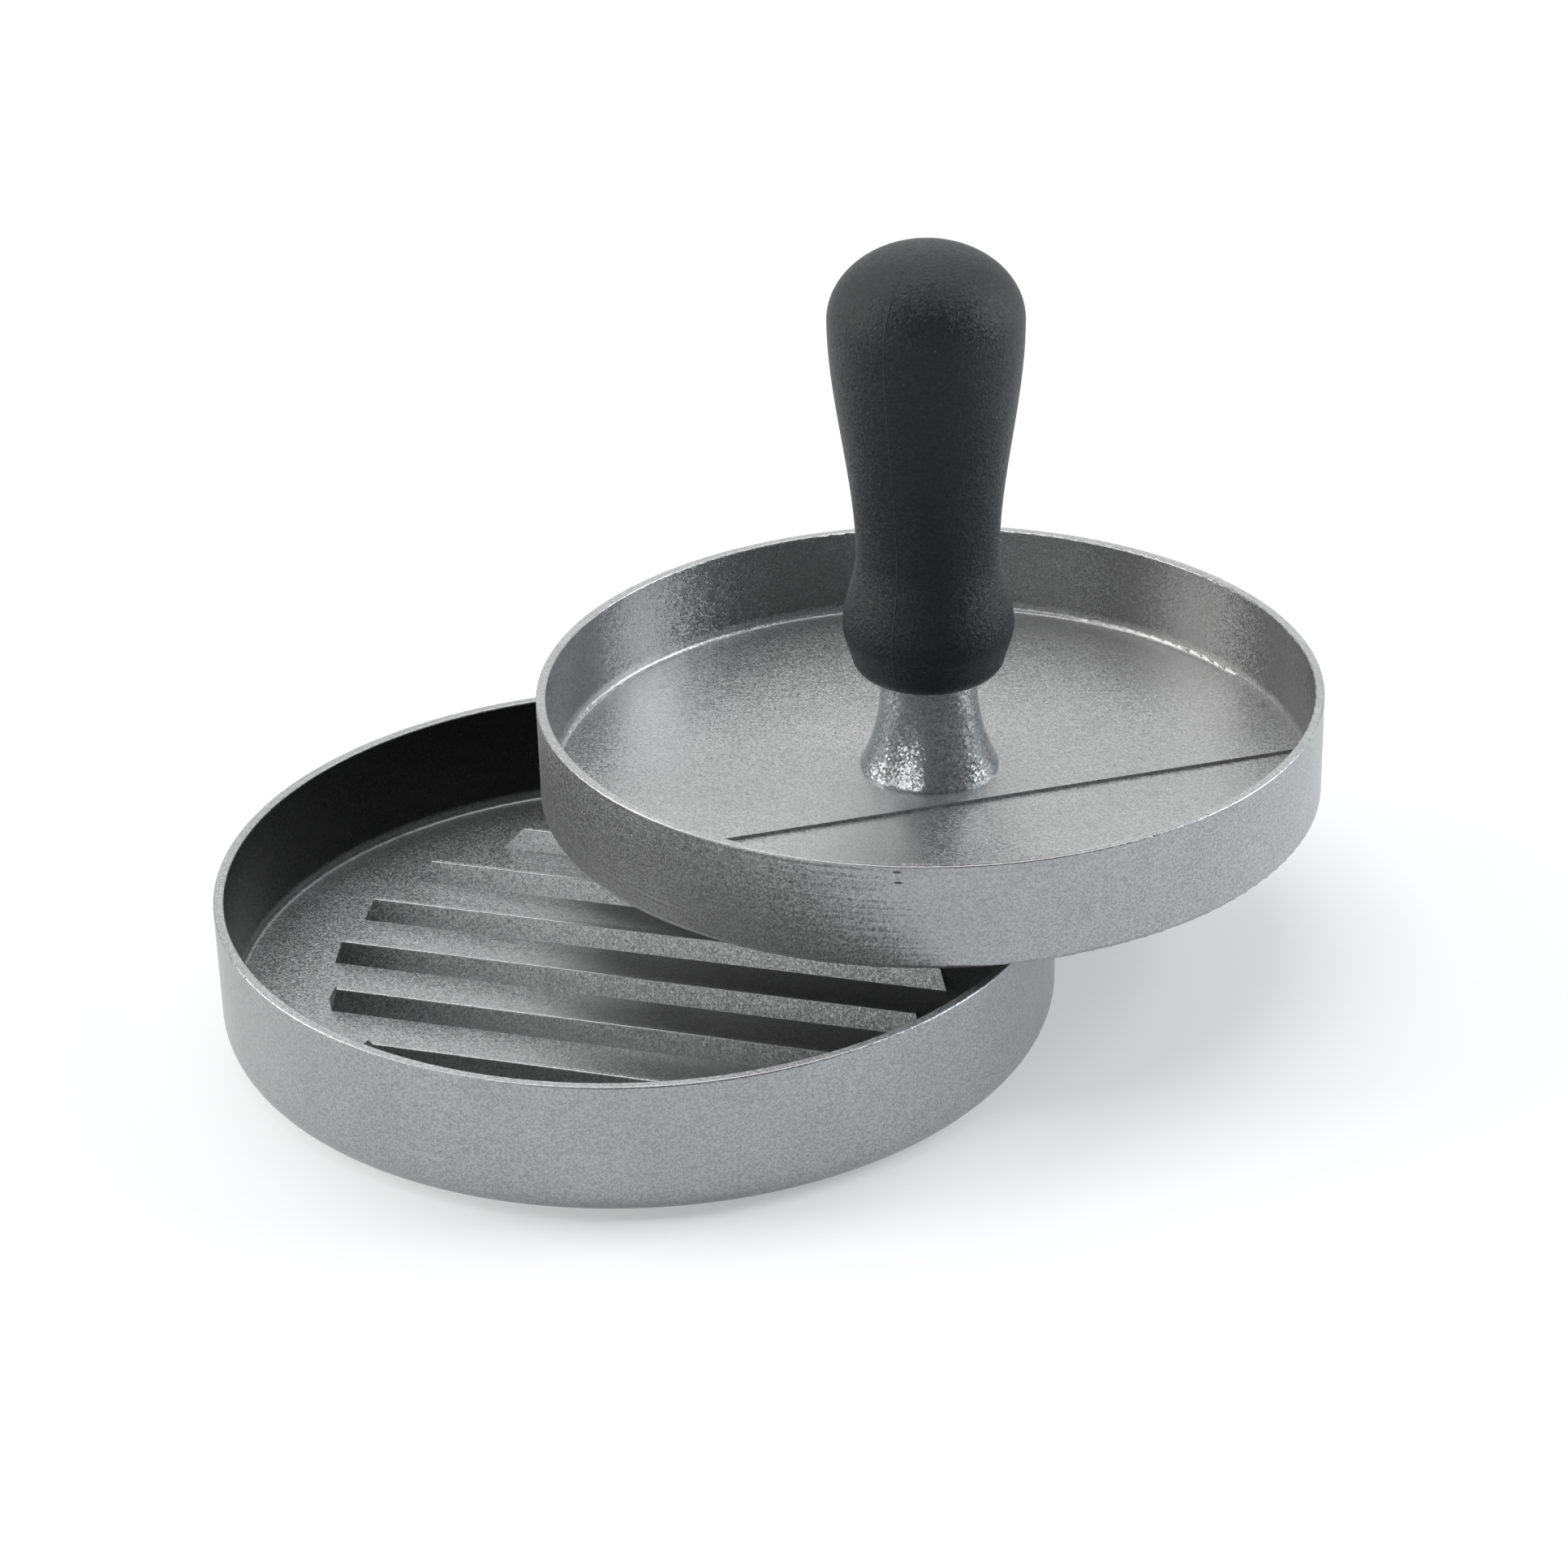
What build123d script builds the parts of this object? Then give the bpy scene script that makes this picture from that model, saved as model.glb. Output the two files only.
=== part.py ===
from build123d import *
import os

# Round burger press: a ridged cast pan, and a cast press tray with a screwed-on handle.
# Millimetres. The origin is the centre of the pan's underside, on the table. +Z is up.
# X runs along the pan's ridges. The press tray rests level on the pan's rim, off to one side.

# Pan
pan_radius = 60.0
pan_height = 20.5
pan_floor = 3.8
pan_wall = 1.5
pan_wall_draft = 0.4
pan_bottom_edge = 4.2
pan_inner_corner = 0.6

# Press tray
press_gap = 1.4
tray_wall = 1.45
tray_wall_draft = 0.25
tray_depth = 13.7
tray_plate = 2.05
tray_bottom_edge = 0.8
tray_inner_corner = 0.7
band_width = 26.5
band_rise = 0.45

# Rims of both dishes
rim_edge = 0.3

# Grilling ridges, in the pan and under the press tray
ridge_pitch = 13.2
ridge_height = 3.0
ridge_crest = 0.9
ridge_foot = 3.3
ridge_crest_edge = 0.3
ridge_end_margin = 13.7
ridge_end_slope = 1.1

# Where the press tray lies on the pan
press_x = 35.3
press_y = 32.0
press_turn = 32.5
rest_gap = 0.05

# Screw, its lock washer and their seat under the tray
screw_radius = 2.5
screw_length = 30.0
screw_tip_chamfer = 0.6
head_radius = 4.75
head_height = 3.5
head_crown = 1.6
recess_length = 4.6
recess_width = 0.9
recess_depth = 1.8
washer_radius = 4.6
washer_thickness = 1.2
washer_split = 1.0
washer_play = 0.15
screw_play = 0.25
head_sink = 0.2
seat_play = 0.6
seat_thickness = 1.9
boss_wall = 3.6
spigot_radius = 6.5

# Flared collar between the tray and the handle
collar_foot_radius = 10.15
collar_lip = 0.4
collar_neck_radius = 7.1
collar_flare_height = 13.0
collar_height = 15.3
collar_fit = 0.1
collar_roof_gap = 0.3

# Handle
grip_height = 64.7
grip_foot_radius = 8.2
grip_foot_edge = 3.0
grip_taper = 10.0
grip_bulge_radius = 12.4
grip_bulge_height = 7.4
grip_waist_radius = 10.3
grip_waist_height = 18.8
grip_shoulder_radius = 13.9
grip_shoulder_height = 53.8
grip_socket_depth = 1.0

# Threaded insert in the handle
insert_radius = 4.5
insert_length = 15.0
insert_groove_radius = 3.3
insert_groove_width = 3.0
insert_fit = 0.05
thread_fit = 0.05
tip_room = 5.0

# Sizes that follow from the ones above
tray_radius = pan_radius - pan_wall - press_gap
tray_height = tray_plate + tray_depth
band_top = tray_plate + band_rise
ridge_field_radius = pan_radius - pan_wall - ridge_end_margin
head_low = head_sink - ridge_height
head_top = head_low + head_height
seat_roof = head_top + washer_thickness
spigot_top = seat_roof + seat_thickness
seat_radius = max(head_radius, washer_radius) + seat_play
grip_low = band_top + collar_height
insert_low = grip_low + grip_socket_depth
press_base = pan_height + rest_gap + ridge_height

# How far a raised form is sunk into the plate that carries it
sink = 0.5

# Solids are drawn standing on their own foot, centred on the axis
upright = (Align.CENTER, Align.CENTER, Align.MIN)


def turned(outline):
    """Solid turned about Z from outline edges drawn as (radius, height)."""
    return revolve(Plane.XZ * make_face(outline), Axis.Z)


def disc(radius, low, high):
    """Upright cylinder between two heights."""
    return Pos(0, 0, low) * Cylinder(radius, high - low, align=upright)


def dish(radius, height, wall, floor, bottom_edge, inner_corner):
    """Round dish with an upright wall, given as (thickness, draft), and a softly rounded rim."""
    thickness, draft = wall
    inner = radius - thickness
    foot = inner - draft
    outline = [
        Line((0, 0), (radius - bottom_edge, 0)),
        CenterArc((radius - bottom_edge, bottom_edge), bottom_edge, -90, 90),
        Line((radius, bottom_edge), (radius, height - rim_edge)),
        CenterArc((radius - rim_edge, height - rim_edge), rim_edge, 0, 90),
        Line((radius - rim_edge, height), (inner + rim_edge, height)),
        CenterArc((inner + rim_edge, height - rim_edge), rim_edge, 90, 90),
        Line((inner, height - rim_edge), (foot, floor + inner_corner)),
        CenterArc((foot - inner_corner, floor + inner_corner), inner_corner, 0, -90),
        Line((foot - inner_corner, floor), (0, floor)),
        Line((0, floor), (0, 0)),
    ]
    return turned(outline)


def ridge_field():
    """Parallel ridges along X, one pitch apart, their ends sloped and cut off by one circle."""
    section = Polygon(
        (-ridge_foot / 2, -sink),
        (ridge_foot / 2, -sink),
        (ridge_foot / 2, 0),
        (ridge_crest / 2, ridge_height),
        (-ridge_crest / 2, ridge_height),
        (-ridge_foot / 2, 0),
        align=None,
    )
    section = fillet(section.vertices().sort_by(Axis.Y)[-2:], ridge_crest_edge)
    bar = extrude(Plane.YZ * section, amount=ridge_field_radius, both=True)
    per_side = int(ridge_field_radius / ridge_pitch + 0.5 - ridge_foot / ridge_pitch)
    offsets = [ridge_pitch * (step + 0.5) for step in range(-per_side, per_side)]
    bars = [Pos(0, offset, 0) * bar for offset in offsets]
    lean = ridge_end_slope / ridge_height
    low = -2 * sink
    high = ridge_height + sink
    foot_radius = ridge_field_radius - lean * low
    ends = Pos(0, 0, low) * Cone(foot_radius, foot_radius - lean * (high - low), high - low, align=upright)
    return Part() + [bar & ends for bar in bars]


def base_pan():
    """Cast pan that shapes the patty, with the ridges standing on its floor."""
    wall = (pan_wall, pan_wall_draft)
    pan = dish(pan_radius, pan_height, wall, pan_floor, pan_bottom_edge, pan_inner_corner)
    return pan + Pos(0, 0, pan_floor) * ridge_field()


def press_tray():
    """Cast press: an open tray with a raised band across its floor and ridges beneath."""
    wall = (tray_wall, tray_wall_draft)
    tray = dish(tray_radius, tray_height, wall, tray_plate, tray_bottom_edge, tray_inner_corner)
    band = Pos(0, 0, band_top / 2 + sink / 2) * Box(2 * tray_radius, band_width, band_top - sink)
    band &= disc(tray_radius - tray_wall, 0, band_top)
    spigot = disc(spigot_radius, sink, spigot_top)
    boss = disc(seat_radius + boss_wall, -ridge_height, sink)
    ridges = Rot(180, 0, 0) * ridge_field()
    seat = disc(seat_radius, -ridge_height, seat_roof)
    hole = disc(screw_radius + screw_play, seat_roof, spigot_top)
    return tray + band + spigot + boss + ridges - seat - hole


def stem_collar():
    """Flared collar, bored for the screw and socketed over the tray's spigot."""
    foot = band_top
    top = insert_low
    bore = screw_radius + screw_play
    socket = spigot_radius + collar_fit
    socket_roof = spigot_top + collar_roof_gap
    neck = (collar_neck_radius, foot + collar_flare_height)
    lip = (collar_foot_radius, foot + collar_lip)
    outline = [
        Line((socket, foot), (collar_foot_radius, foot)),
        Line((collar_foot_radius, foot), lip),
        TangentArc(neck, lip, tangent=(0, -1)),
        Line(neck, (collar_neck_radius, top)),
        Line((collar_neck_radius, top), (bore, top)),
        Line((bore, top), (bore, socket_roof)),
        Line((bore, socket_roof), (socket, socket_roof)),
        Line((socket, socket_roof), (socket, foot)),
    ]
    return turned(outline)


def upright_curve(start, end):
    """Smooth curve between two points of the handle's side, upright at both ends."""
    third = (end[1] - start[1]) / 3
    return Bezier(start, (start[0], start[1] + third), (end[0], end[1] - third), end)


def dome_curve(shoulder, top):
    """Quarter of an ellipse from the handle's shoulder to the middle of its top."""
    quarter_pull = 4 / 3 * (2**0.5 - 1)
    rise = (top - shoulder.Y) * quarter_pull
    return Bezier(shoulder, shoulder + Vector(0, rise), (shoulder.X * quarter_pull, top), (0, top))


def insert_blank(growth):
    """Hexagonal insert with a groove round its middle, grown on every side by a fit."""
    hexagon = RegularPolygon(insert_radius + growth, 6)
    blank = extrude(Pos(0, 0, insert_low) * hexagon, insert_length + growth)
    middle = insert_low + insert_length / 2
    half_groove = insert_groove_width / 2 - growth
    groove = disc(insert_radius + 1, middle - half_groove, middle + half_groove)
    return blank - (groove - disc(insert_groove_radius + growth, insert_low, middle + insert_length))


def handle_grip():
    """Moulded handle: a narrow foot, a low bulge, a waist and a broad domed head."""
    foot_edge = JernArc((grip_foot_radius, 0), (1, 0), grip_foot_edge, 90 - grip_taper)
    taper_start = foot_edge @ 1
    bulge = Vector(grip_bulge_radius, grip_bulge_height)
    reach = (bulge.Y - taper_start.Y) / 3
    waist = Vector(grip_waist_radius, grip_waist_height)
    shoulder = Vector(grip_shoulder_radius, grip_shoulder_height)
    outline = [
        Line((0, 0), (grip_foot_radius, 0)),
        foot_edge,
        Bezier(taper_start, taper_start + (foot_edge % 1) * reach, bulge - Vector(0, reach), bulge),
        upright_curve((bulge.X, bulge.Y), (waist.X, waist.Y)),
        upright_curve((waist.X, waist.Y), (shoulder.X, shoulder.Y)),
        dome_curve(shoulder, grip_height),
        Line((0, grip_height), (0, 0)),
    ]
    grip = Pos(0, 0, grip_low) * turned(outline)
    socket = disc(collar_neck_radius + collar_fit, grip_low, insert_low)
    tip = head_top + screw_length
    tip_bore = disc(screw_radius + screw_play, insert_low, max(tip, insert_low + insert_length) + tip_room)
    return grip - socket - insert_blank(insert_fit) - tip_bore


def handle_insert():
    """Brass insert moulded into the handle, threaded for the screw."""
    bore = disc(screw_radius + thread_fit, insert_low, insert_low + insert_length)
    return insert_blank(0) - bore


def handle_screw():
    """Pan-head screw that comes up from beneath the tray, with a cross recess."""
    head = disc(head_radius, head_low, head_top)
    head = fillet(head.edges().sort_by(Axis.Z)[0], head_crown)
    shank = disc(screw_radius, head_top - sink, head_top + screw_length)
    shank = chamfer(shank.edges().sort_by(Axis.Z)[-1], screw_tip_chamfer)
    slot = Pos(0, 0, head_low + recess_depth / 2) * Box(recess_length, recess_width, recess_depth)
    return head + shank - slot - Rot(0, 0, 90) * slot


def lock_washer():
    """Split spring washer, flattened between the screw's head and its seat."""
    ring = disc(washer_radius, head_top, seat_roof) - disc(screw_radius + washer_play, head_top, seat_roof)
    split = Pos(washer_radius / 2, 0, head_top) * Box(washer_radius * 1.2, washer_split, 3 * washer_thickness)
    return ring - split


press_place = Pos(press_x, press_y, press_base) * Rot(0, 0, press_turn)
parts = {
    "base_pan": base_pan(),
    "press_tray": press_place * press_tray(),
    "stem_collar": press_place * stem_collar(),
    "handle_grip": press_place * handle_grip(),
    "handle_insert": press_place * handle_insert(),
    "handle_screw": press_place * handle_screw(),
    "lock_washer": press_place * lock_washer(),
}

os.makedirs("parts", exist_ok=True)
for name, solid in parts.items():
    export_step(solid, f"parts/{name}.step")
    box = solid.bounding_box()
    print(f"{name}: {len(solid.solids())} solid, {solid.volume:.1f} mm3")
    print(f"  from {box.min.Z:.2f} to {box.max.Z:.2f} mm above the table")
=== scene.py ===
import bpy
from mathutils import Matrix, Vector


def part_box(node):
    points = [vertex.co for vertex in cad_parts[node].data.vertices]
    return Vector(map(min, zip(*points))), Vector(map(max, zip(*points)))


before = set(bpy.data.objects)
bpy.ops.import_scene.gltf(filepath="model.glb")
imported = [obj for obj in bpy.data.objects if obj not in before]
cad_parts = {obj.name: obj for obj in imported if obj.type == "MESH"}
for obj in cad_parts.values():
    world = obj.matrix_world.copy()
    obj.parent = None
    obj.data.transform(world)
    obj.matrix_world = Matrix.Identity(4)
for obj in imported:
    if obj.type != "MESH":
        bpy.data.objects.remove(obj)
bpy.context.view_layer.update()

import math

import bpy
from mathutils import Matrix, Vector

# Sizes are metres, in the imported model's frame: the pan stands on the floor at the origin.
MM = 0.001

# Camera, fitted to the outlines of both dishes in the photograph; angles are radians
CAMERA_PLACE = Vector((0.1704, -0.4896, 0.2980))
CAMERA_TURN = math.radians(16.8)
CAMERA_TILT = 0.472
CAMERA_ROLL = 0.026
CAMERA_LENS = 94.34
CAMERA_SENSOR = 36.0
CAMERA_NEAR = 0.01

# Soft light boxes: name, place, width and height, watts, colour
NEUTRAL = (1.0, 1.0, 1.0)
LAMPS = (
    ("box_left", (-0.95, -0.10, 0.50), (0.60, 0.90), 8.8, (1.0, 0.99, 0.97)),
    ("box_right", (0.85, 0.42, 0.45), (0.45, 0.80), 9.0, (0.94, 0.98, 1.0)),
    ("box_back", (-0.37, 1.25, 0.80), (2.20, 1.50), 11.0, NEUTRAL),
    ("box_front", (-0.50, -1.10, 0.42), (0.90, 0.40), 3.2, NEUTRAL),
    ("box_top", (-0.10, 0.20, 1.10), (1.00, 0.80), 8.0, NEUTRAL),
)
LAMP_AIM = Vector((0.02, 0.0, 0.03))
ROOM_LIGHT = 0.11

# Floor, a little below the pan's underside, so that the two don't share a plane
FLOOR_HALF = 3.0
FLOOR_DROP = 0.1 * MM
FLOOR_COLOUR = (0.79, 0.82, 0.84)
# Its white glow is weaker round the place that the press shades most, and whole further out
SHADOW_MIDDLE = (0.085, -0.015, 0.0)
SHADOW_NEAR, SHADOW_FAR = 60 * MM, 200 * MM
SHADOW_GLOW = 0.34

# Most of a noise texture's values lie in this span.
NOISE_SPAN = (0.3, 0.7)

# Coat: how far its flakes and its wide faint clouds go above and below its tone
FLAKE_CONTRAST = 0.20
FLAKE_SPAN = (0.2, 0.8)
FINE_SHARE, COARSE_SHARE = 0.8, 0.2
COARSE_IN_FLAKES = 2.2
CLOUD_GRAIN = 14 * MM
CLOUD_CONTRAST = 0.03
COAT_METALLIC = 0.85
# Roughness of the glossiest and of the dullest flake, above the coat's own
GLOSSIEST, DULLEST = -0.06, 0.08

# The painted shade on a dish's inner wall, and its lower roughness, go where this mask is one.
# Mask of a dish's inner wall: where it fades in and out, from the wall's radius at the rim (the
# wall leans in towards the floor), and the heights over which it fades at its foot and rim
WALL_FADE_IN = (-0.55 * MM, -0.35 * MM)
WALL_FADE_OUT = (0.15 * MM, 0.30 * MM)
WALL_FOOT_FADE = 1.5 * MM
WALL_RIM_FADE = 0.5 * MM
# The wall's share of the coat's roughness
WALL_ROUGHNESS = 0.6

# Grooves left by turning, and the patches in which they fade
RING_GRAIN = 0.65 * MM
RING_STRETCH = (0.008, 0.008, 1.0)
RING_PATCH = 40 * MM
RING_PATCH_SPAN = (0.35, 0.60)
RING_FAINTEST = 0.3
RING_DEPTH = 0.14 * MM
# They start this far inside the outer radius
RING_EDGE = (-0.5 * MM, -0.1 * MM)

# Small dark nick in the coat: wider than high, a fifth of the coat's tone inside
NICK_INNER, NICK_OUTER = 0.25 * MM, 0.5 * MM
NICK_SQUEEZE = (0.6, 0.6, 2.0)
NICK_TONE = 0.2

# Moulded plastic, with the darkest and the lightest share of its tone
PLASTIC_TONE = (0.0085, 0.0105, 0.0120)
PLASTIC_SHARES = (0.6, 1.5)
PLASTIC_GRAIN = 0.45 * MM
PLASTIC_ROUGHNESS = 0.44
PLASTIC_SPECULAR = 0.32
PLASTIC_PITS, PLASTIC_LEAN = 0.36 * MM, 0.26
PLASTIC_RELIEF = 0.20 * MM
# Its mould line lies in an upright plane through the axis, and this is the way across it
SEAM_ACROSS = (0.984, -0.177)
SEAM_EDGE = (0.04 * MM, 0.16 * MM)
SEAM_LIGHTER, SEAM_RAISED = 0.7, 0.5
# Specks of dust on it, with their edge in shares of the spacing
DUST_SPACING = 3.2 * MM
DUST_EDGE = (0.035, 0.06)
DUST_LIGHTER = 3.5

# Turned bare metal
TURNED_GRAIN = 0.5 * MM
TURNED_STRETCH = (0.2, 0.2, 3.0)
TURNED_CONTRAST = 0.1
TURNED_DEPTH = 0.01 * MM


def middle(node):
    """Middle of a CAD node's box."""
    low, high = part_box(node)
    return (Vector(low) + Vector(high)) / 2


def top_of(node):
    """Height of a CAD node's highest point."""
    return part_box(node)[1][2]


def bottom_of(node):
    """Height of a CAD node's lowest point."""
    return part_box(node)[0][2]


PRESS_AXIS = middle("press_tray")
PAN_AXIS = middle("base_pan")

# Inner wall of each dish: its radius at the rim, then the heights of its foot and its rim from
# the dish's middle. The pan's foot is given above its underside, the tray's below its rim.
PAN_WALL_RADIUS, PAN_WALL_FOOT = 58.5 * MM, 4.4 * MM
PAN_WALL = (
    PAN_WALL_RADIUS,
    bottom_of("base_pan") + PAN_WALL_FOOT - PAN_AXIS.z,
    top_of("base_pan") - PAN_AXIS.z,
)
TRAY_WALL_RADIUS, TRAY_WALL_DEPTH = 55.65 * MM, 13.0 * MM
TRAY_WALL = (
    TRAY_WALL_RADIUS,
    top_of("press_tray") - TRAY_WALL_DEPTH - PRESS_AXIS.z,
    top_of("press_tray") - PRESS_AXIS.z,
)
# The tray's outer radius, where the turning shows
TRAY_OUTSIDE = 57.1 * MM

# Two nicks just under the tray's rim, from the middle of the tray
COAT_NICKS = ((9.96 * MM, -56.23 * MM, 8.53 * MM), (10.15 * MM, -56.19 * MM, 6.94 * MM))

# Pieces of bare metal: material, tone, roughness
BARE_METALS = {
    "handle_insert": ("insert_brass", (0.72, 0.52, 0.24), 0.35),
    "handle_screw": ("screw_steel", (0.60, 0.60, 0.61), 0.32),
    "lock_washer": ("washer_steel", (0.52, 0.52, 0.53), 0.38),
}


class Nodes:
    """A material's node tree, with short calls for the nodes that the finishes share."""

    def __init__(self, name):
        self.material = bpy.data.materials.new(name)
        self.material.use_nodes = True
        self.tree = self.material.node_tree
        self.shader = self.tree.nodes["Principled BSDF"]

    def add(self, kind, **settings):
        node = self.tree.nodes.new(kind)
        for key, value in settings.items():
            setattr(node, key, value)
        return node

    def link(self, source, target):
        self.tree.links.new(source, target)

    def feed(self, socket, value):
        """Links a socket to a socket, or sets it to a plain value."""
        if isinstance(value, bpy.types.NodeSocket):
            self.link(value, socket)
        else:
            socket.default_value = value

    def set_shader(self, **values):
        """Feeds the shader's own sockets, whose names are written with _ for a space."""
        for key, value in values.items():
            self.feed(self.shader.inputs[key.replace("_", " ")], value)

    def paint(self, tone, brightness):
        """Base colour of one tone, lighter and darker over the surface."""
        colour = self.add("ShaderNodeRGB")
        colour.outputs[0].default_value = (*tone, 1)
        self.set_shader(Base_Color=self.shade(colour.outputs[0], brightness))

    def place(self, centre):
        """Place on the piece, counted from a point that moves with it."""
        return self.vector("SUBTRACT", self.add("ShaderNodeTexCoord").outputs["Object"], centre)

    def vector(self, operation, first, second):
        """Sum, difference or product of two vectors, part by part."""
        node = self.add("ShaderNodeVectorMath", operation=operation)
        self.feed(node.inputs[0], first)
        self.feed(node.inputs[1], second)
        return node.outputs["Vector"]

    def shade(self, vector, factor):
        """Colour or vector multiplied by a plain factor."""
        node = self.add("ShaderNodeVectorMath", operation="SCALE")
        self.feed(node.inputs[0], vector)
        self.feed(node.inputs["Scale"], factor)
        return node.outputs[0]

    def parts(self, vector):
        """The x, y and z of a vector."""
        node = self.add("ShaderNodeSeparateXYZ")
        self.link(vector, node.inputs[0])
        return node.outputs

    def math(self, operation, first, second=0.0, clamp=False):
        node = self.add("ShaderNodeMath", operation=operation, use_clamp=clamp)
        self.feed(node.inputs[0], first)
        self.feed(node.inputs[1], second)
        return node.outputs[0]

    def plus(self, first, second, clamp=False):
        return self.math("ADD", first, second, clamp)

    def times(self, first, second):
        return self.math("MULTIPLY", first, second)

    def ramp(self, value, low, high, from_value=0.0, to_value=1.0, smooth=True):
        """Value mapped from one span to another, held at both ends."""
        kind = "SMOOTHSTEP" if smooth else "LINEAR"
        node = self.add("ShaderNodeMapRange", interpolation_type=kind)
        self.feed(node.inputs["Value"], value)
        self.feed(node.inputs["From Min"], low)
        self.feed(node.inputs["From Max"], high)
        self.feed(node.inputs["To Min"], from_value)
        self.feed(node.inputs["To Max"], to_value)
        return node.outputs["Result"]

    def radius(self, vector):
        """Distance from the upright axis."""
        x, y, _ = self.parts(vector)
        return self.math("SQRT", self.plus(self.times(x, x), self.times(y, y)))

    def noise(self, vector, grain, detail=2.0, roughness=0.5, stretch=None):
        """Cloudy noise whose patches are about one grain across, in metres."""
        if stretch:
            vector = self.vector("MULTIPLY", vector, stretch)
        node = self.add("ShaderNodeTexNoise")
        self.link(vector, node.inputs["Vector"])
        node.inputs["Scale"].default_value = 1 / grain
        node.inputs["Detail"].default_value = detail
        node.inputs["Roughness"].default_value = roughness
        return node.outputs["Fac"]

    def cells(self, vector, grain):
        """Cells about one grain across: a random colour and the distance from the middle."""
        node = self.add("ShaderNodeTexVoronoi", feature="F1")
        self.link(vector, node.inputs["Vector"])
        node.inputs["Scale"].default_value = 1 / grain
        return node.outputs

    def flakes(self, vector, grain):
        """One random tone for each small cell."""
        tone = self.add("ShaderNodeSeparateColor")
        self.link(self.cells(vector, grain)["Color"], tone.inputs[0])
        return tone.outputs[0]

    def lean(self, vector, grain, amount):
        """Surface direction that leans a little differently in each small cell."""
        centred = self.vector("SUBTRACT", self.cells(vector, grain)["Color"], (0.5, 0.5, 0.5))
        surface = self.add("ShaderNodeNewGeometry").outputs["Normal"]
        leaned = self.vector("ADD", self.shade(centred, amount), surface)
        unit = self.add("ShaderNodeVectorMath", operation="NORMALIZE")
        self.link(leaned, unit.inputs[0])
        return unit.outputs[0]

    def bump(self, height, depth, below=None):
        """Relief of a given depth, on the plain surface or on another direction below it."""
        node = self.add("ShaderNodeBump")
        node.inputs["Distance"].default_value = depth
        self.link(height, node.inputs["Height"])
        if below:
            self.link(below, node.inputs["Normal"])
        return node.outputs["Normal"]


def nick_tone(nodes, place, centre):
    """Darkens a small spot on the coat and leaves the rest as it is."""
    away = nodes.vector("MULTIPLY", nodes.vector("SUBTRACT", place, centre), NICK_SQUEEZE)
    length = nodes.add("ShaderNodeVectorMath", operation="LENGTH")
    nodes.link(away, length.inputs[0])
    return nodes.ramp(length.outputs["Value"], NICK_INNER, NICK_OUTER, NICK_TONE, 1.0)


def wall_mask(nodes, place, wall):
    """One on a dish's inner wall, nothing elsewhere; the wall is (radius, foot, rim)."""
    at_rim, foot, rim = wall
    radius = nodes.radius(place)
    height = nodes.parts(place)[2]
    mask = nodes.ramp(radius, *(at_rim + edge for edge in WALL_FADE_IN))
    outer = nodes.ramp(radius, *(at_rim + edge for edge in WALL_FADE_OUT), 1.0, 0.0)
    mask = nodes.times(mask, outer)
    mask = nodes.times(mask, nodes.ramp(height, foot, foot + WALL_FOOT_FADE))
    return nodes.times(mask, nodes.ramp(height, rim - WALL_RIM_FADE, rim, 1.0, 0.0))


def turning_rings(nodes, place, outside):
    """Fine uneven grooves left round a dish's outer wall by turning, fading away in patches."""
    grooves = nodes.noise(place, RING_GRAIN, detail=1.0, stretch=RING_STRETCH)
    patches = nodes.ramp(nodes.noise(place, RING_PATCH), *RING_PATCH_SPAN, RING_FAINTEST, 1.0)
    outer = nodes.ramp(nodes.radius(place), *(outside + edge for edge in RING_EDGE))
    return nodes.times(grooves, nodes.times(patches, outer))


def coated_metal(
    name, centre, tone, flake=0.22 * MM, roughness=0.38, lean=0.17,
    wall=None, painted_wall_shade=1.0, rings=None, nicks=(),
):
    """Speckled non-stick coat on cast metal: metallic flakes in a dark grey lacquer.

    A wall is a dish's inner wall, as wall_mask takes it, which gets painted shade: its tone
    there is cut to the given share.
    Rings is the outer radius where turning shows, and nicks are the middles of small dark spots.
    """
    nodes = Nodes(name)
    place = nodes.place(centre)
    fine = nodes.flakes(place, flake)
    coarse = nodes.noise(place, flake * COARSE_IN_FLAKES, detail=3.0)
    cloud = nodes.noise(place, CLOUD_GRAIN)
    speckle = nodes.plus(nodes.times(fine, FINE_SHARE), nodes.times(coarse, COARSE_SHARE))
    brightness = nodes.times(
        nodes.ramp(speckle, *FLAKE_SPAN, 1 - FLAKE_CONTRAST, 1 + FLAKE_CONTRAST, smooth=False),
        nodes.ramp(cloud, *NOISE_SPAN, 1 - CLOUD_CONTRAST, 1 + CLOUD_CONTRAST),
    )
    dullness = nodes.ramp(
        fine, 0.0, 1.0, roughness + GLOSSIEST, roughness + DULLEST, smooth=False
    )
    if wall:
        mask = wall_mask(nodes, place, wall)
        # Painted shade: the inner wall's tone is cut to its given share, and its roughness is
        # lowered
        brightness = nodes.times(brightness, nodes.ramp(mask, 0.0, 1.0, 1.0, painted_wall_shade))
        dullness = nodes.times(dullness, nodes.ramp(mask, 0.0, 1.0, 1.0, WALL_ROUGHNESS))
    for nick in nicks:
        brightness = nodes.times(brightness, nick_tone(nodes, place, nick))
    normal = nodes.lean(place, flake, lean)
    if rings:
        normal = nodes.bump(turning_rings(nodes, place, rings), RING_DEPTH, below=normal)
    nodes.paint(tone, brightness)
    nodes.set_shader(Metallic=COAT_METALLIC, Roughness=dullness, Normal=normal)
    return nodes.material


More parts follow.
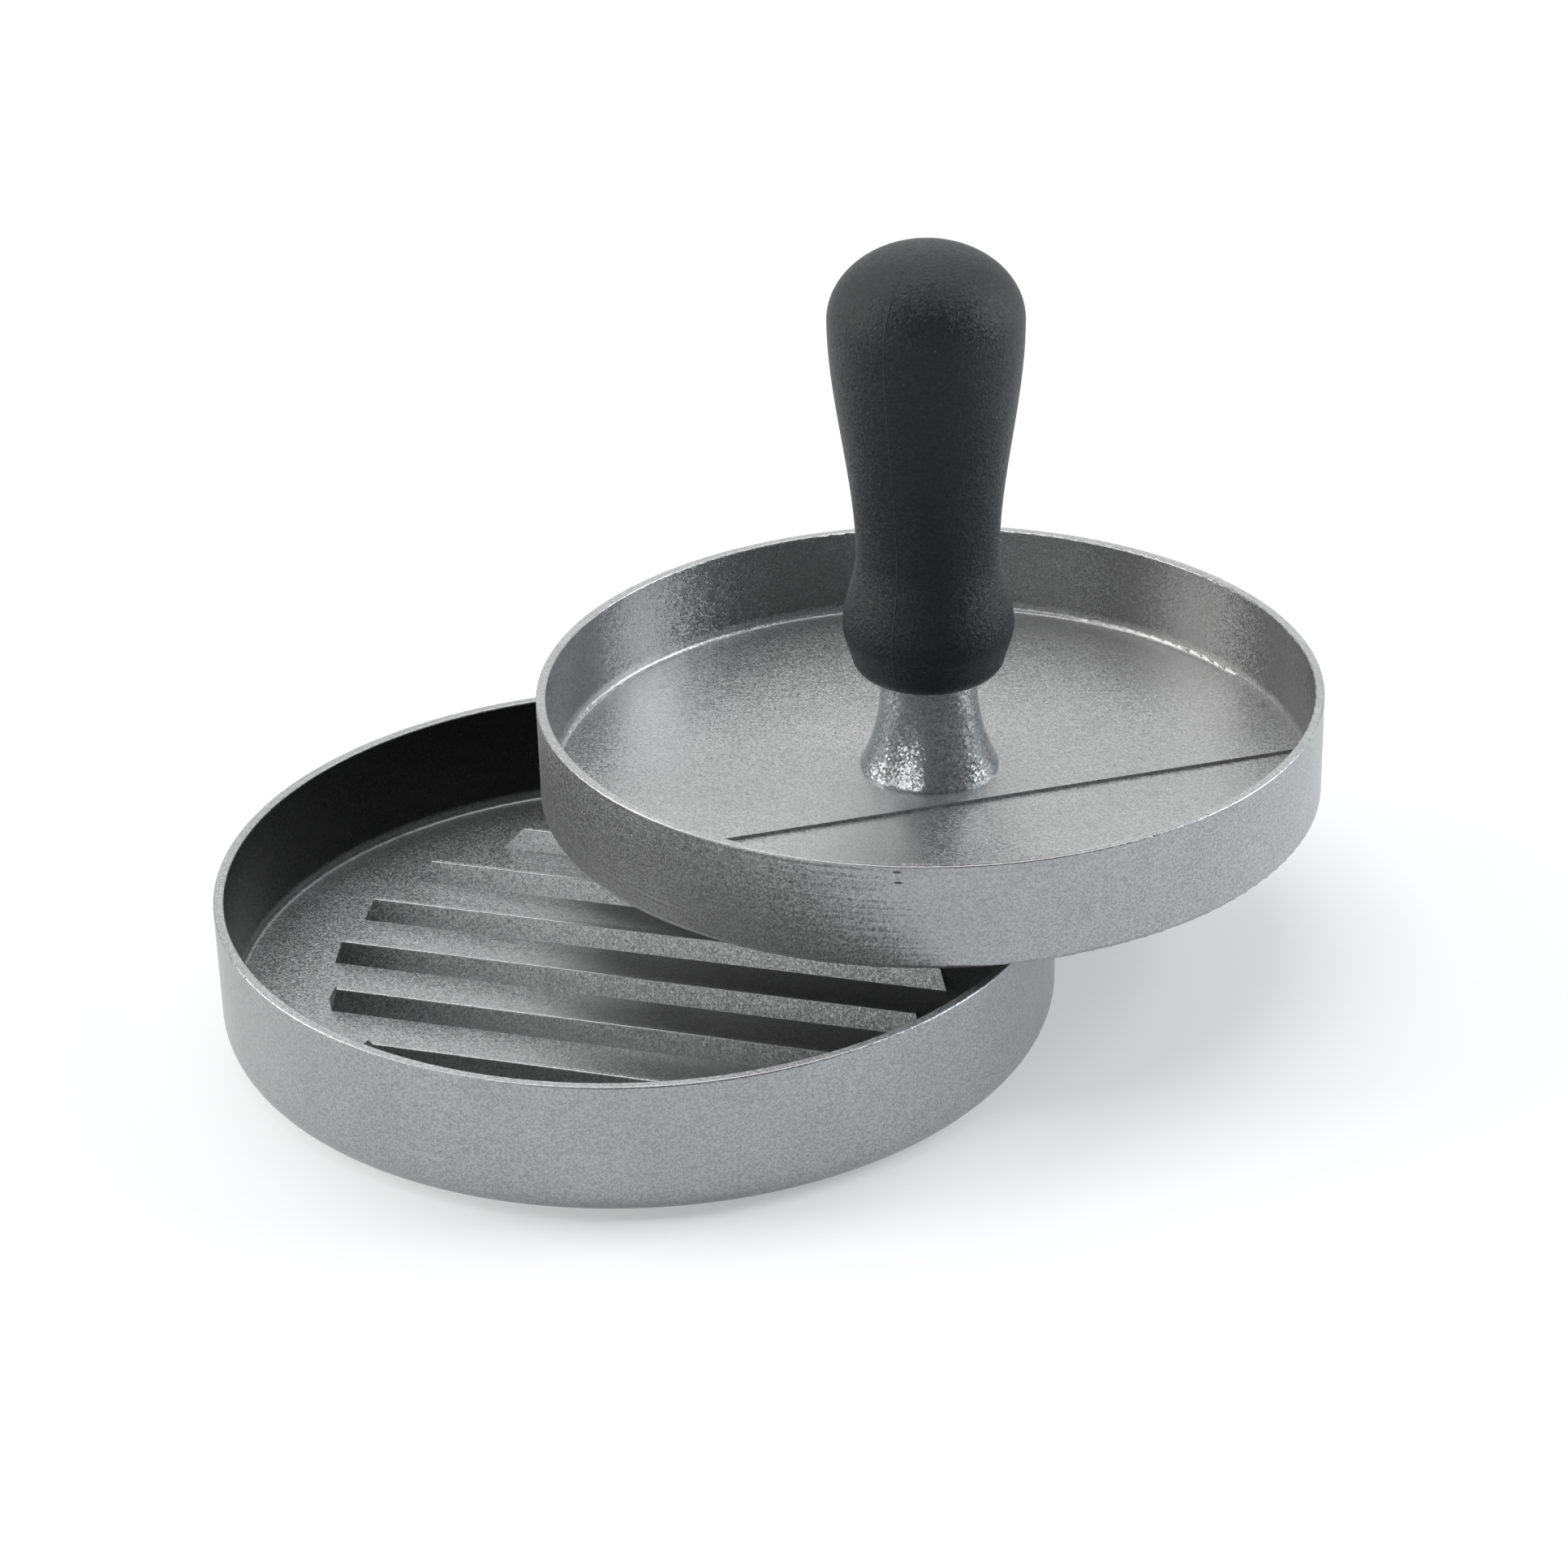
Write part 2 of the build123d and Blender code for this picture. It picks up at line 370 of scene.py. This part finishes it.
def black_plastic(name, centre):
    """Matte moulded plastic with a fine spark-eroded grain, a mould line and a little dust."""
    nodes = Nodes(name)
    place = nodes.place(centre)
    grain = nodes.noise(place, PLASTIC_GRAIN, detail=3.0, roughness=0.65)
    x, y, _ = nodes.parts(place)
    across = nodes.plus(nodes.times(x, SEAM_ACROSS[0]), nodes.times(y, SEAM_ACROSS[1]))
    seam = nodes.ramp(nodes.math("ABSOLUTE", across), *SEAM_EDGE, 1.0, 0.0)
    dust = nodes.ramp(nodes.cells(place, DUST_SPACING)["Distance"], *DUST_EDGE, 1.0, 0.0)
    lighter = nodes.plus(nodes.times(seam, SEAM_LIGHTER), nodes.times(dust, DUST_LIGHTER))
    relief = nodes.plus(grain, nodes.times(seam, SEAM_RAISED))
    pits = nodes.lean(place, PLASTIC_PITS, PLASTIC_LEAN)
    shares = nodes.ramp(grain, *NOISE_SPAN, *PLASTIC_SHARES)
    nodes.paint(PLASTIC_TONE, nodes.plus(shares, lighter))
    nodes.set_shader(
        Roughness=PLASTIC_ROUGHNESS,
        Specular_IOR_Level=PLASTIC_SPECULAR,
        Normal=nodes.bump(relief, PLASTIC_RELIEF, below=pits),
    )
    return nodes.material


def plain_metal(name, centre, tone, roughness):
    """Turned bare metal with faint rings."""
    nodes = Nodes(name)
    rings = nodes.noise(nodes.place(centre), TURNED_GRAIN, stretch=TURNED_STRETCH)
    contrast = (1 - TURNED_CONTRAST, 1 + TURNED_CONTRAST)
    nodes.paint(tone, nodes.ramp(rings, *NOISE_SPAN, *contrast))
    nodes.set_shader(Metallic=1.0, Roughness=roughness, Normal=nodes.bump(rings, TURNED_DEPTH))
    return nodes.material


def dress(node, material):
    """Gives a CAD node its finish."""
    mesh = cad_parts[node].data
    mesh.materials.clear()
    mesh.materials.append(material)


def floor_white():
    """White that keeps the object's soft shadow, and is clear from below."""
    nodes = Nodes("studio_white")
    lit = nodes.add("ShaderNodeBsdfDiffuse")
    lit.inputs["Color"].default_value = (*FLOOR_COLOUR, 1)
    glow = nodes.add("ShaderNodeEmission")
    clear = nodes.add("ShaderNodeBsdfTransparent")
    rays = nodes.add("ShaderNodeLightPath").outputs
    seen = nodes.plus(rays["Is Camera Ray"], rays["Is Glossy Ray"], clamp=True)
    seen = nodes.plus(seen, rays["Is Transmission Ray"], clamp=True)
    away = nodes.radius(nodes.place(SHADOW_MIDDLE))
    strength = nodes.times(seen, nodes.ramp(away, SHADOW_NEAR, SHADOW_FAR, SHADOW_GLOW, 1.0))
    below = nodes.add("ShaderNodeNewGeometry").outputs["Backfacing"]
    white = nodes.add("ShaderNodeMixShader")
    surface = nodes.add("ShaderNodeMixShader")
    for mixed, share, first, second in (
        (white, strength, lit, glow),
        (surface, below, white, clear),
    ):
        nodes.link(share, mixed.inputs[0])
        nodes.link(first.outputs[0], mixed.inputs[1])
        nodes.link(second.outputs[0], mixed.inputs[2])
    nodes.link(surface.outputs[0], nodes.tree.nodes["Material Output"].inputs["Surface"])
    return nodes.material


def make_floor():
    mesh = bpy.data.meshes.new("studio_floor")
    signs = ((-1, -1), (1, -1), (1, 1), (-1, 1))
    corners = [(x * FLOOR_HALF, y * FLOOR_HALF, -FLOOR_DROP) for x, y in signs]
    mesh.from_pydata(corners, [], [(0, 1, 2, 3)])
    mesh.materials.append(floor_white())
    floor = bpy.data.objects.new("studio_floor", mesh)
    bpy.context.collection.objects.link(floor)


def make_world():
    """Plain room light, with white behind everything that the camera sees."""
    world = bpy.data.worlds.new("studio")
    bpy.context.scene.world = world
    world.use_nodes = True
    tree = world.node_tree
    backdrop = tree.nodes["Background"]
    backdrop.inputs["Color"].default_value = (1, 1, 1, 1)
    rays = tree.nodes.new("ShaderNodeLightPath")
    strength = tree.nodes.new("ShaderNodeMapRange")
    tree.links.new(rays.outputs["Is Camera Ray"], strength.inputs["Value"])
    strength.inputs["To Min"].default_value = ROOM_LIGHT
    strength.inputs["To Max"].default_value = 1.0
    tree.links.new(strength.outputs["Result"], backdrop.inputs["Strength"])


def make_lamps():
    for name, place, size, watts, colour in LAMPS:
        light = bpy.data.lights.new(name, "AREA")
        light.shape = "RECTANGLE"
        light.size, light.size_y = size
        light.energy = watts
        light.color = colour
        item = bpy.data.objects.new(name, light)
        item.location = place
        item.rotation_euler = (LAMP_AIM - item.location).to_track_quat("-Z", "Y").to_euler()
        item.visible_camera = False
        bpy.context.collection.objects.link(item)


def make_camera():
    camera = bpy.data.cameras.new("photo_camera")
    camera.sensor_width = CAMERA_SENSOR
    camera.lens = CAMERA_LENS
    camera.clip_start = CAMERA_NEAR
    item = bpy.data.objects.new("photo_camera", camera)
    turn = Matrix.Rotation(CAMERA_TURN, 4, "Z")
    tilt = Matrix.Rotation(math.pi / 2 - CAMERA_TILT, 4, "X")
    roll = Matrix.Rotation(-CAMERA_ROLL, 4, "Z")
    item.matrix_world = Matrix.Translation(CAMERA_PLACE) @ turn @ tilt @ roll
    bpy.context.collection.objects.link(item)
    bpy.context.scene.camera = item


make_camera()
make_world()
make_lamps()
make_floor()
bpy.context.scene.view_settings.view_transform = "Standard"

# Painted shade on the inner walls: the pan's keeps 0.16 of its tone, the tray's 0.6
dress("base_pan", coated_metal(
    "pan_coat", PAN_AXIS, (0.362, 0.367, 0.370), wall=PAN_WALL, painted_wall_shade=0.16
))
dress("press_tray", coated_metal(
    "tray_coat", PRESS_AXIS, (0.384, 0.386, 0.388), wall=TRAY_WALL, painted_wall_shade=0.6,
    rings=TRAY_OUTSIDE, nicks=COAT_NICKS,
))
dress("stem_collar", coated_metal(
    "collar_coat", PRESS_AXIS, (0.47, 0.49, 0.50), flake=0.30 * MM, roughness=0.24, lean=0.22
))
dress("handle_grip", black_plastic("grip_plastic", PRESS_AXIS))
for node, (name, tone, roughness) in BARE_METALS.items():
    dress(node, plain_metal(name, PRESS_AXIS, tone, roughness))
